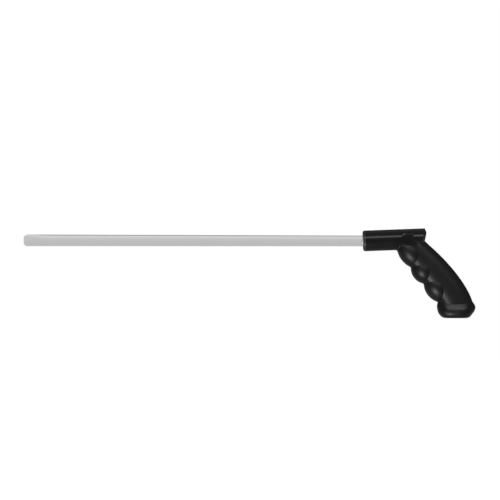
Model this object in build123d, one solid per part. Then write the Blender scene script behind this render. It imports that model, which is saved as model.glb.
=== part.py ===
from build123d import *
import math
import os

# Golf grip remover: a channel blade held in a pistol handle.
# Millimetres. +X runs from the blade's tip to the handle, +Z is up with the grip hanging down, and the
# tool's left side faces -Y. The origin is the centre of the barrel's mouth, where the blade comes out.
# Points with two numbers are X and Z. "Station" is a distance along the barrel's axis from its mouth.

# --- Driving dimensions -------------------------------------------------------------------------------
BLADE_REACH = 187.5  # tip to barrel mouth
BARREL_RADIUS = 5.75
BARREL_CANT = 2.2  # degrees that the barrel rises towards the rear, off the blade's line
BARREL_END = 45.0  # station beyond the leaning rear face
BUTT_HEIGHT = -42.5  # height of the flat face under the grip
SHELL_WALL = 1.9
FIT = 0.02  # gap all round between pieces that push together
SEAM_GAP = 0.1  # hairline along the joint, by which the right shell stands off the left one

# Blade: half a tube lengthwise, pressed flatter towards the tip
TIP_HALF_WIDTH = 3.22
ROOT_HALF_WIDTH = 2.95
BLADE_WALL = 0.8
TIP_DEPTH = 1.3
TIP_FORM_LENGTH = 14.0
TIP_FORM_STEPS = 4
TIP_CORNER_RADIUS = 2.0
TIP_TRIM = 0.005  # the outline that rounds the tip stands this far off the channel's edges
TANG_LENGTH = 30.0
OVERRUN = 1.0  # how far a cutting tool passes the end that it opens

# Collar in the barrel's mouth
COLLAR_FLANGE = 1.4
COLLAR_ROUNDING = 1.1
COLLAR_SPIGOT_RADIUS = 4.3
COLLAR_SPIGOT_END = 6.0  # station
COLLAR_GAP = 0.25  # round the blade, which leaves the mouth at a slight angle
CORE_SETBACK = 0.5  # from the mouth's face to the front end of the core
END_PLAY = 0.2  # behind the tang and the collar

# Pins across the barrel and the tang
PIN_RADIUS = 1.0
PIN_LENGTH = 9.0
PIN_CHAMFER = 0.25
PIN_STATIONS = {"tang_pin_front": 11.0, "tang_pin_rear": 23.0}
PEG_STATIONS = (9.0, 26.0)  # locating pegs of the left shell, above the tang
PEG_HEIGHT = 4.4
PEG_RADIUS = 0.75
PEG_LENGTH = 1.4
PEG_ROOT = 0.5  # depth to which a peg is rooted in its shell

# Rear end of the barrel: its face leans forward towards the hand and has a bevelled rim
REAR_FACE_POINT = (35.1, 4.9)
REAR_FACE_LEAN = 12.0
REAR_BEVEL_AXIAL = 1.4
REAR_BEVEL_RADIAL = 2.2

# Shell screws, from the right side
SCREWS = {"screw_neck": (29.6, -9.4), "screw_waist": (42.6, -20.4), "screw_butt": (53.0, -34.4)}
SCREW_RADIUS = 1.1
SCREW_HEAD_RADIUS = 2.0
SCREW_HEAD_HEIGHT = 1.3
SCREW_HEAD_ROUNDING = 0.5
SCREW_HEAD_GAP = 0.1
SCREW_SEAT = 3.4  # from the seam to the underside of the head
SCREW_REACH = 4.6  # from the seam to the point, in the left shell
SCREW_POINT = 1.0
SCREW_TIP_RADIUS = 0.2
RECESS_DEPTH = 0.8
RECESS_WIDTH = 0.5
RECESS_LENGTH = 2.2
BOSS_RADIUS = 2.9

# Grip slices: front point, back point, half thickness
CORE_SLICES = (
    ((19.6, 4.1), (31.2, 4.6), 5.6),
    ((18.4, -0.8), (33.6, 0.9), 6.2),
    ((21.8, -7.6), (36.9, -2.4), 6.4),
    ((27.6, -14.7), (42.6, -7.7), 6.6),
    ((33.9, -22.6), (49.2, -14.8), 6.7),
    ((40.3, -30.0), (55.0, -22.4), 6.75),
    ((44.2, -36.4), (59.6, -30.6), 6.8),
    ((47.5, -41.0), (61.6, -37.6), 6.8),
)
# Finger swells: upper notch, lower notch, how far the front stands out between them
SWELLS = (
    ((18.95, -5.0), (26.8, -14.6), 1.6),
    ((26.55, -14.6), (34.2, -23.6), 2.35),
    ((33.7, -23.9), (41.4, -33.6), 2.0),
)
SWELL_HALF_DEPTH = 6.5
SWELL_HALF_THICKNESS = 7.3
NOTCHES = (((18.95, -5.0), 1.2), ((26.7, -14.7), 1.2), ((33.9, -23.9), 1.2), ((41.3, -33.8), 0.8))
NOTCH_SEARCH = 0.8  # an edge this near a notch is its crease
# Butt slices, evenly spaced in height: front, back, half thickness
BUTT_TOP = -31.65
BUTT_ROUNDING = 3.2  # round the flat face
BUTT_SLICES = (
    (43.6, 59.3, 5.9),
    (41.85, 60.75, 6.45),
    (41.05, 61.95, 6.95),
    (41.05, 62.3, 7.7),
    (41.45, 61.55, 8.15),
    (42.45, 60.2, 8.0),
    (44.1, 58.7, 7.6),
)
SECTION_POWER = 2.3  # 2 is an ellipse, more is squarer
SECTION_LEAN = 1.2  # above 1 puts a slice's thickest place nearer its front
SECTION_POINTS = 24
FAR = 200.0  # beyond everything, for cutting blocks


def along_barrel(shape):
    """A shape drawn along +X, turned onto the barrel's axis."""
    return Rot(0, -BARREL_CANT, 0) * shape


def rod(radius, start, end):
    """A cylinder along +X."""
    bar = Cylinder(radius, end - start, align=(Align.CENTER, Align.CENTER, Align.MIN))
    return Pos(start, 0, 0) * Rot(0, 90, 0) * bar


def cross_rod(radius, place, start, end):
    """A cylinder along +Y at a place in XZ."""
    bar = Cylinder(radius, end - start, align=(Align.CENTER, Align.CENTER, Align.MIN))
    return Pos(place[0], start, place[1]) * Rot(-90, 0, 0) * bar


def side_block(side, gap=0.0):
    """All the space on one side of the seam: side is -1 for the left and 1 for the right."""
    return Pos(0, side * (FAR / 2 + gap), 0) * Box(2 * FAR, FAR, 2 * FAR)


# --- Blade and tang -----------------------------------------------------------------------------------
def channel_wire(half_width, depth):
    """Half of a flattened tube, open towards +Y, drawn in the YZ plane."""
    plane = Plane(origin=(0, 0, 0), x_dir=(0, 0, 1), z_dir=(1, 0, 0))
    inner_width, inner_depth = half_width - BLADE_WALL, depth - BLADE_WALL
    outer = EllipticalCenterArc((0, 0), half_width, depth, 0, arc_size=180)
    inner = EllipticalCenterArc((0, 0), inner_width, inner_depth, 0, arc_size=180)
    lips = [Line((side * inner_width, 0), (side * half_width, 0)) for side in (-1, 1)]
    return plane * Wire([outer, lips[0], inner, lips[1]])


def blade_profile(x):
    """Half width and depth of the channel at x."""
    share = min(max(-x / BLADE_REACH, 0), 1)
    half_width = ROOT_HALF_WIDTH + (TIP_HALF_WIDTH - ROOT_HALF_WIDTH) * share
    form = min(max((x + BLADE_REACH) / TIP_FORM_LENGTH, 0), 1)
    rise = form * form * (3 - 2 * form)
    return half_width, TIP_DEPTH + (half_width - TIP_DEPTH) * rise


def tip_outline():
    """The blade's outline seen from the side, with a rounded tip."""
    length = BLADE_REACH + FAR
    height = 2 * (TIP_HALF_WIDTH + TIP_TRIM)
    slab = extrude(RectangleRounded(length, height, TIP_CORNER_RADIUS), TANG_LENGTH, both=True)
    return Pos(length / 2 - BLADE_REACH, 0, 0) * Rot(90, 0, 0) * slab


def tang_holes():
    places = [cross_rod(PIN_RADIUS + FIT, (station, 0), -FAR, FAR) for station in PIN_STATIONS.values()]
    return along_barrel(Part() + places)


def blade():
    root = along_barrel(channel_wire(*blade_profile(0)))
    shoulder_x = TIP_FORM_LENGTH - BLADE_REACH
    shoulder = Pos(shoulder_x, 0, 0) * channel_wire(*blade_profile(shoulder_x))
    tip = []
    for k in range(TIP_FORM_STEPS + 1):
        x = shoulder_x - TIP_FORM_LENGTH * k / TIP_FORM_STEPS
        tip.append(Pos(x, 0, 0) * channel_wire(*blade_profile(x)))
    channel = Solid.make_loft([shoulder, root], ruled=True) + Solid.make_loft(tip)
    hollow = rod(ROOT_HALF_WIDTH - BLADE_WALL, -OVERRUN, TANG_LENGTH + OVERRUN)
    tube = rod(ROOT_HALF_WIDTH, 0, TANG_LENGTH) - hollow
    tang = along_barrel(tube & side_block(-1))
    return ((channel & tip_outline()) + tang) - tang_holes()


def tang_core():
    """Bar that fills the channel inside the handle and makes the tang round."""
    inner = rod(ROOT_HALF_WIDTH - BLADE_WALL - FIT, CORE_SETBACK, TANG_LENGTH)
    outer = rod(ROOT_HALF_WIDTH, CORE_SETBACK, TANG_LENGTH) & side_block(1, FIT)
    return along_barrel(inner + outer) - tang_holes()


def tang_pin(station):
    pin = cross_rod(PIN_RADIUS, (station, 0), -PIN_LENGTH / 2, PIN_LENGTH / 2)
    return along_barrel(chamfer(pin.edges().filter_by(GeomType.CIRCLE), PIN_CHAMFER))


def mouth_collar():
    flange = rod(BARREL_RADIUS, 0, COLLAR_FLANGE)
    flange = fillet(flange.edges().group_by(Axis.X)[0], COLLAR_ROUNDING)
    collar = flange + rod(COLLAR_SPIGOT_RADIUS, 0, COLLAR_SPIGOT_END)
    opening = rod(ROOT_HALF_WIDTH + COLLAR_GAP, -OVERRUN, COLLAR_SPIGOT_END + OVERRUN)
    return along_barrel(collar - opening)


# --- Outside of the handle ----------------------------------------------------------------------------
def slice_wire(front, back, half_thickness, lean=SECTION_LEAN):
    """One slice of the grip: a squared egg shape from its front point round to its back point."""
    points = []
    for k in range(SECTION_POINTS):
        angle = 2 * math.pi * k / SECTION_POINTS
        c, s = math.cos(angle), math.sin(angle)
        reach = math.copysign(abs(c) ** (2 / SECTION_POWER), c)
        side = math.copysign(abs(s) ** (2 / SECTION_POWER), s) * half_thickness
        share = ((1 - reach) / 2) ** lean
        x = front[0] + (back[0] - front[0]) * share
        z = front[1] + (back[1] - front[1]) * share
        points.append((x, side, z))
    return Wire([Spline(*points, periodic=True).edge()])


def drawn_in(front, back, half_thickness, inset):
    """The same slice made smaller by inset all round."""
    length = math.hypot(back[0] - front[0], back[1] - front[1])
    dx, dz = (back[0] - front[0]) / length * inset, (back[1] - front[1]) / length * inset
    return (front[0] + dx, front[1] + dz), (back[0] - dx, back[1] - dz), half_thickness - inset


def core(inset=0.0):
    """The plain grip, from inside the barrel down into the butt."""
    return Solid.make_loft([slice_wire(*drawn_in(*row, inset)) for row in CORE_SLICES])


def butt(inset=0.0):
    """The flared foot of the grip, rounded over into its flat face."""
    step = (BUTT_HEIGHT + inset - BUTT_TOP) / (len(BUTT_SLICES) - 1)
    wires = []
    for k, (front, back, thick) in enumerate(BUTT_SLICES):
        z = BUTT_TOP + step * k
        near, far, thick = drawn_in((front, z), (back, z), thick, inset)
        wires.append(slice_wire(far, near, thick, lean=1.0))
    foot = Part(Solid.make_loft(wires).wrapped)
    return fillet(foot.faces().sort_by(Axis.Z)[0].edges(), BUTT_ROUNDING - inset)


def swell(upper, lower, height):
    """One finger swell: an ellipsoid whose front passes through both notches."""
    dx, dz = lower[0] - upper[0], lower[1] - upper[1]
    length = math.hypot(dx, dz)
    half_length = length / 2 / math.sqrt(1 - (1 - height / SWELL_HALF_DEPTH) ** 2)
    sink = SWELL_HALF_DEPTH - height
    middle_x = (upper[0] + lower[0]) / 2 - dz / length * sink
    middle_z = (upper[1] + lower[1]) / 2 + dx / length * sink
    bead = scale(Rot(0, 90, 0) * Sphere(1), by=(half_length, SWELL_HALF_THICKNESS, SWELL_HALF_DEPTH))
    return Pos(middle_x, 0, middle_z) * Rot(0, math.degrees(math.atan2(-dz, dx)), 0) * bead


def barrel():
    """The barrel behind its collar, with its leaning rear face."""
    x, z = REAR_FACE_POINT
    behind = Pos(x, 0, z) * Rot(0, REAR_FACE_LEAN, 0) * Pos(FAR / 2, 0, 0) * Box(FAR, FAR, FAR)
    tube = along_barrel(rod(BARREL_RADIUS, COLLAR_FLANGE, BARREL_END)) - behind
    rim = tube.edges().sort_by(Axis.X)[-1]
    face = tube.faces().sort_by(Axis.X)[-1]
    return chamfer(rim, REAR_BEVEL_RADIAL, REAR_BEVEL_AXIAL, reference=face)


def handle_outside():
    """Barrel, grip and butt in one, with the notches between the swells rounded out."""
    body = barrel() + core() + butt()
    for row in SWELLS:
        body += swell(*row)
    for (x, z), radius in NOTCHES:
        notch = Vertex(x, 0, z)
        body = fillet([edge for edge in body.edges() if edge.distance_to(notch) < NOTCH_SEARCH], radius)
    return body


# --- Shells and screws --------------------------------------------------------------------------------
def inside():
    """Everything that is empty in the closed handle."""
    grip_space = core(SHELL_WALL) + butt(SHELL_WALL) - along_barrel(rod(BARREL_RADIUS, 0, BARREL_END))
    for place in SCREWS.values():
        grip_space -= cross_rod(BOSS_RADIUS, place, -FAR, FAR)
    tang_space = rod(ROOT_HALF_WIDTH + FIT, -OVERRUN, TANG_LENGTH + END_PLAY)
    collar_space = rod(COLLAR_SPIGOT_RADIUS + FIT, -OVERRUN, COLLAR_SPIGOT_END + END_PLAY)
    pin_space = [
        cross_rod(PIN_RADIUS + FIT, (station, 0), -PIN_LENGTH / 2 - FIT, PIN_LENGTH / 2 + FIT)
        for station in PIN_STATIONS.values()
    ]
    return grip_space + along_barrel(tang_space + collar_space + pin_space)


def pegs(grow=0.0):
    places = [(station, PEG_HEIGHT) for station in PEG_STATIONS]
    rods = [cross_rod(PEG_RADIUS + grow, place, -PEG_ROOT, PEG_LENGTH + grow) for place in places]
    return along_barrel(Part() + rods)


def left_shell(outside, space):
    body = (outside & side_block(-1)) - space
    for place in SCREWS.values():
        body -= cross_rod(SCREW_RADIUS + FIT, place, -SCREW_REACH - FIT, FAR)
    return body + pegs()


def right_shell(outside, space):
    body = (outside & side_block(1, SEAM_GAP)) - space
    for place in SCREWS.values():
        body -= cross_rod(SCREW_RADIUS + FIT, place, -FAR, FAR)
        body -= cross_rod(SCREW_HEAD_RADIUS + SCREW_HEAD_GAP, place, SCREW_SEAT, FAR)
    return body - pegs(FIT)


def screw(place):
    """A self-tapping screw with a cross recess, head towards +Y."""
    point = Cone(SCREW_RADIUS, SCREW_TIP_RADIUS, SCREW_POINT, align=(Align.CENTER, Align.CENTER, Align.MIN))
    point = Pos(place[0], SCREW_POINT - SCREW_REACH, place[1]) * Rot(90, 0, 0) * point
    shank = cross_rod(SCREW_RADIUS, place, SCREW_POINT - SCREW_REACH, SCREW_SEAT)
    head = cross_rod(SCREW_HEAD_RADIUS, place, SCREW_SEAT, SCREW_SEAT + SCREW_HEAD_HEIGHT)
    head = fillet(head.edges().group_by(Axis.Y)[-1], SCREW_HEAD_ROUNDING)
    recess_floor = SCREW_SEAT + SCREW_HEAD_HEIGHT - RECESS_DEPTH
    for width, height in ((RECESS_LENGTH, RECESS_WIDTH), (RECESS_WIDTH, RECESS_LENGTH)):
        slot = Box(width, 2 * RECESS_DEPTH, height)
        head -= Pos(place[0], recess_floor + RECESS_DEPTH, place[1]) * slot
    return point + shank + head


outside = handle_outside()
space = inside()

pieces = {
    "blade": blade(),
    "tang_core": tang_core(),
    "mouth_collar": mouth_collar(),
    "left_shell": left_shell(outside, space),
    "right_shell": right_shell(outside, space),
}
for name, station in PIN_STATIONS.items():
    pieces[name] = tang_pin(station)
for name, place in SCREWS.items():
    pieces[name] = screw(place)

os.makedirs("parts", exist_ok=True)
for name, piece in pieces.items():
    print(name, round(piece.volume, 2), "mm3")
    export_step(piece, f"parts/{name}.step")
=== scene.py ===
import math

import bpy
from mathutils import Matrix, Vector


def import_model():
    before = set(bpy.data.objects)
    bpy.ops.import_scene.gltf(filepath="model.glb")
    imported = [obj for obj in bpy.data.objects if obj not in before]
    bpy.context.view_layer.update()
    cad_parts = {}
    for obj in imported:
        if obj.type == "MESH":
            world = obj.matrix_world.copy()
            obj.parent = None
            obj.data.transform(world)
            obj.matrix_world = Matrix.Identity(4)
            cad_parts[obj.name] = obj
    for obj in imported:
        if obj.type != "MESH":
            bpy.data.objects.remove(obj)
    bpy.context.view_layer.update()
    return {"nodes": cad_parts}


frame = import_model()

nodes = frame["nodes"]
HANDLE_NODES = ["left_shell", "right_shell", "mouth_collar"]

# --- Camera and framing, metres ------------------------------------------------------------------------
VIEW_WIDTH = 0.2765  # width of the picture at the tool
VIEW_CENTRE = Vector((-0.06243, 0.0, -0.0051))
CAMERA_ROLL = math.radians(-0.11)
CAMERA_DISTANCE = 1.6
CAMERA_REACH = 100.0
SENSOR = 36.0  # millimetres

# --- Surround and floor --------------------------------------------------------------------------------
BACKDROP = 1.0  # what the camera sees behind the tool
SURROUND_FRONT = 0.7
SURROUND_TOP = 0.85
SURROUND_BEHIND = 0.12
FLOOR_GLOW = 0.12
FLOOR_GLOW_SEEN = 0.6  # more for the camera, so that the floor runs into the backdrop
FLOOR_HEIGHT = -1.2
FLOOR_SIZE = 60.0

# --- Lamps, which light the handle only ----------------------------------------------------------------
LIT_POINT = Vector((0.03, 0.0, -0.01))
LAMP_DISTANCE = 1.2
STRIP_SIZE = (1.6, 0.24)
STRIP_RADIANCE = 12.0
CARD_SIZE = (0.4, 0.34)
CARD_RADIANCE = 70.0

# --- Finish of the handle ------------------------------------------------------------------------------
BARREL_ROUGHNESS = 0.2
GRIP_ROUGHNESS_ADDED = 0.23
RUBBED = 0.35  # share of the added roughness that is left where the butt is rubbed
GRIP_STARTS = (-0.001, -0.0045)  # heights between which the barrel's polish gives way to satin
RUBBED_TOP = (-0.0365, -0.0335)
RUBBED_BOTTOM = (-0.0373, -0.039)
MOULDING_IOR = 1.22
SHELL_TONE = 0.0012
COLLAR_TONE = 0.012
GRAIN_HEIGHT = 0.00003

# --- Finish of the blade -------------------------------------------------------------------------------
BLADE_LINES = (25, 9000, 9000)  # noise scale, long in X
BLADE_LINE_HEIGHT = 0.000008


# --- Node helpers --------------------------------------------------------------------------------------
def new_material(name):
    material = bpy.data.materials.new(name)
    material.use_nodes = True
    tree = material.node_tree
    return material, tree.nodes, tree.links, tree.nodes["Principled BSDF"]


def noise(n, links, scale, detail, roughness=0.5):
    """Noise in object coordinates, with its own scale along X, Y and Z."""
    place = n.new("ShaderNodeTexCoord")
    mapping = n.new("ShaderNodeMapping")
    mapping.inputs["Scale"].default_value = scale
    links.new(place.outputs["Object"], mapping.inputs["Vector"])
    texture = n.new("ShaderNodeTexNoise")
    texture.inputs["Scale"].default_value = 1.0
    texture.inputs["Detail"].default_value = detail
    texture.inputs["Roughness"].default_value = roughness
    links.new(mapping.outputs["Vector"], texture.inputs["Vector"])
    return texture.outputs["Fac"]


def spread(n, links, source, low, high, out_low, out_high):
    """Maps source from low..high to out_low..out_high, clamped and smoothed."""
    step = n.new("ShaderNodeMapRange")
    step.interpolation_type = "SMOOTHSTEP"
    ends = {"From Min": low, "From Max": high, "To Min": out_low, "To Max": out_high}
    for key, value in ends.items():
        step.inputs[key].default_value = value
    links.new(source, step.inputs["Value"])
    return step.outputs["Result"]


def connect(links, value, socket):
    """Links an output to the socket, or sets the socket to a plain value."""
    if isinstance(value, bpy.types.NodeSocket):
        links.new(value, socket)
    else:
        socket.default_value = value


def maths(n, links, operation, a, b):
    made = n.new("ShaderNodeMath")
    made.operation = operation
    connect(links, a, made.inputs[0])
    connect(links, b, made.inputs[1])
    return made.outputs[0]


def mix(n, links, kind, factor, a, b):
    """Blends two colours, with kind RGBA, or two numbers, with kind VALUE."""
    made = n.new("ShaderNodeMix")
    made.data_type = "RGBA" if kind == "RGBA" else "FLOAT"
    links.new(factor, made.inputs["Factor"])
    for key, value in (("A", a), ("B", b)):
        socket = [s for s in made.inputs if s.name == key and s.type == kind][0]
        connect(links, value, socket)
    return [s for s in made.outputs if s.type == kind][0]


def mix_colour(n, links, factor, a, b):
    return mix(n, links, "RGBA", factor, (*a, 1.0), (*b, 1.0))


def bump(n, links, height, distance):
    made = n.new("ShaderNodeBump")
    made.inputs["Distance"].default_value = distance
    links.new(height, made.inputs["Height"])
    return made.outputs["Normal"]


# --- Materials -----------------------------------------------------------------------------------------
def handle_material(name, tone):
    """Black moulding: a polished barrel, a satin grip, and a butt rubbed along its upper edge."""
    material, n, links, shader = new_material(name)
    place = n.new("ShaderNodeTexCoord")
    split = n.new("ShaderNodeSeparateXYZ")
    links.new(place.outputs["Object"], split.inputs["Vector"])
    height = split.outputs["Z"]
    below = spread(n, links, height, *GRIP_STARTS, 0.0, 1.0)
    above = spread(n, links, height, *RUBBED_TOP, RUBBED, 1.0)
    under = spread(n, links, height, *RUBBED_BOTTOM, RUBBED, 1.0)
    satin = maths(n, links, "MULTIPLY", below, maths(n, links, "MAXIMUM", above, under))
    cloud = noise(n, links, (90, 90, 90), 5)
    grain = noise(n, links, (3500, 3500, 3500), 3, 0.6)

    light = (tone, tone, tone * 1.05)
    dark = tuple(c * 0.5 for c in light)
    clouds = spread(n, links, cloud, 0.35, 0.7, 0, 1)
    links.new(mix_colour(n, links, clouds, dark, light), shader.inputs["Base Color"])

    added = maths(n, links, "MULTIPLY", satin, GRIP_ROUGHNESS_ADDED)
    rough = maths(n, links, "ADD", added, BARREL_ROUGHNESS)
    varied = maths(n, links, "ADD", rough, spread(n, links, cloud, 0.3, 0.7, -0.01, 0.03))
    links.new(varied, shader.inputs["Roughness"])
    shader.inputs["IOR"].default_value = MOULDING_IOR

    grip_grain = maths(n, links, "MULTIPLY", grain, satin)
    links.new(bump(n, links, grip_grain, GRAIN_HEIGHT), shader.inputs["Normal"])
    return material


def blade_material():
    """Stainless steel with fine lines along the blade."""
    material, n, links, shader = new_material("brushed_stainless")
    lines = noise(n, links, BLADE_LINES, 6, 0.6)
    colour = mix_colour(n, links, lines, (0.70, 0.71, 0.70), (0.82, 0.83, 0.82))
    links.new(colour, shader.inputs["Base Color"])
    shader.inputs["Metallic"].default_value = 1.0
    links.new(spread(n, links, lines, 0.2, 0.8, 0.24, 0.36), shader.inputs["Roughness"])
    links.new(bump(n, links, lines, BLADE_LINE_HEIGHT), shader.inputs["Normal"])
    return material


def steel_material(name, colour, rough):
    material, n, links, shader = new_material(name)
    cloud = noise(n, links, (700, 700, 700), 5)
    dark = tuple(c * 0.8 for c in colour)
    links.new(mix_colour(n, links, cloud, dark, colour), shader.inputs["Base Color"])
    shader.inputs["Metallic"].default_value = 1.0
    links.new(spread(n, links, cloud, 0.3, 0.7, rough - 0.06, rough + 0.08), shader.inputs["Roughness"])
    return material


def assign(names, material):
    for name in names:
        slots = nodes[name].data.materials
        slots.clear()
        slots.append(material)


# --- Stage ---------------------------------------------------------------------------------------------
def floor():
    bpy.ops.mesh.primitive_plane_add(size=FLOOR_SIZE, location=(0, 0, FLOOR_HEIGHT))
    ground = bpy.context.object
    ground.name = "floor"
    material, n, links, shader = new_material("pale_floor")
    cloud = noise(n, links, (3, 3, 3), 3)
    colour = mix_colour(n, links, cloud, (0.86, 0.86, 0.86), (0.9, 0.9, 0.9))
    links.new(colour, shader.inputs["Base Color"])
    shader.inputs["Roughness"].default_value = 0.9
    shader.inputs["Emission Color"].default_value = (1, 1, 1, 1)
    path = n.new("ShaderNodeLightPath")
    glow = spread(n, links, path.outputs["Is Camera Ray"], 0, 1, FLOOR_GLOW, FLOOR_GLOW_SEEN)
    links.new(glow, shader.inputs["Emission Strength"])
    ground.data.materials.append(material)


def world():
    """A pale room: the camera sees the backdrop, and the tool mirrors the graded surround."""
    made = bpy.data.worlds.new("studio")
    bpy.context.scene.world = made
    made.use_nodes = True
    n, links = made.node_tree.nodes, made.node_tree.links
    n.clear()
    place = n.new("ShaderNodeTexCoord")
    split = n.new("ShaderNodeSeparateXYZ")
    links.new(place.outputs["Generated"], split.inputs["Vector"])
    depth = spread(n, links, split.outputs["Y"], -0.2, 0.7, SURROUND_FRONT, SURROUND_BEHIND)
    lift = spread(n, links, split.outputs["Z"], 0.6, 1.0, 0.0, 1.0)
    surround = mix(n, links, "VALUE", lift, depth, SURROUND_TOP)
    path = n.new("ShaderNodeLightPath")
    seen = mix(n, links, "VALUE", path.outputs["Is Camera Ray"], surround, BACKDROP)
    background = n.new("ShaderNodeBackground")
    background.inputs["Color"].default_value = (1, 1, 1, 1)
    links.new(seen, background.inputs["Strength"])
    output = n.new("ShaderNodeOutputWorld")
    links.new(background.outputs[0], output.inputs["Surface"])


def softbox(name, azimuth, elevation, size, radiance):
    """A panel that faces the handle. Azimuth 0 is the camera's side and turns towards +X."""
    a, e = math.radians(azimuth), math.radians(elevation)
    away = Vector((math.sin(a) * math.cos(e), -math.cos(a) * math.cos(e), math.sin(e)))
    data = bpy.data.lights.new(name, "AREA")
    data.shape = "RECTANGLE"
    data.size, data.size_y = size
    data.energy = radiance * size[0] * size[1] * math.pi
    lamp = bpy.data.objects.new(name, data)
    bpy.context.scene.collection.objects.link(lamp)
    lamp.location = LIT_POINT + away * LAMP_DISTANCE
    lamp.rotation_euler = (-away).to_track_quat("-Z", "Y").to_euler()
    lamp.visible_camera = False
    receivers = bpy.data.collections.new(name + "_receivers")
    for receiver in HANDLE_NODES:
        receivers.objects.link(nodes[receiver])
    lamp.light_linking.receiver_collection = receivers


def camera():
    data = bpy.data.cameras.new("camera")
    data.sensor_width = SENSOR
    data.lens = SENSOR * CAMERA_DISTANCE / VIEW_WIDTH
    data.clip_end = CAMERA_REACH
    eye = bpy.data.objects.new("camera", data)
    bpy.context.scene.collection.objects.link(eye)
    eye.location = VIEW_CENTRE + Vector((0, -CAMERA_DISTANCE, 0))
    eye.rotation_euler = (math.pi / 2, CAMERA_ROLL, 0)
    bpy.context.scene.camera = eye


assign(["left_shell", "right_shell"], handle_material("black_moulding", SHELL_TONE))
assign(["mouth_collar"], handle_material("collar_moulding", COLLAR_TONE))
assign(["blade"], blade_material())
drawn_steel = steel_material("drawn_steel", (0.6, 0.6, 0.6), 0.35)
assign(["tang_core", "tang_pin_front", "tang_pin_rear"], drawn_steel)
zinc_steel = steel_material("zinc_steel", (0.62, 0.62, 0.6), 0.3)
assign(["screw_neck", "screw_waist", "screw_butt"], zinc_steel)

floor()
world()
softbox("strip", 0, 39, STRIP_SIZE, STRIP_RADIANCE)
softbox("card", -29, -34, CARD_SIZE, CARD_RADIANCE)
camera()
bpy.context.scene.view_settings.view_transform = "Standard"
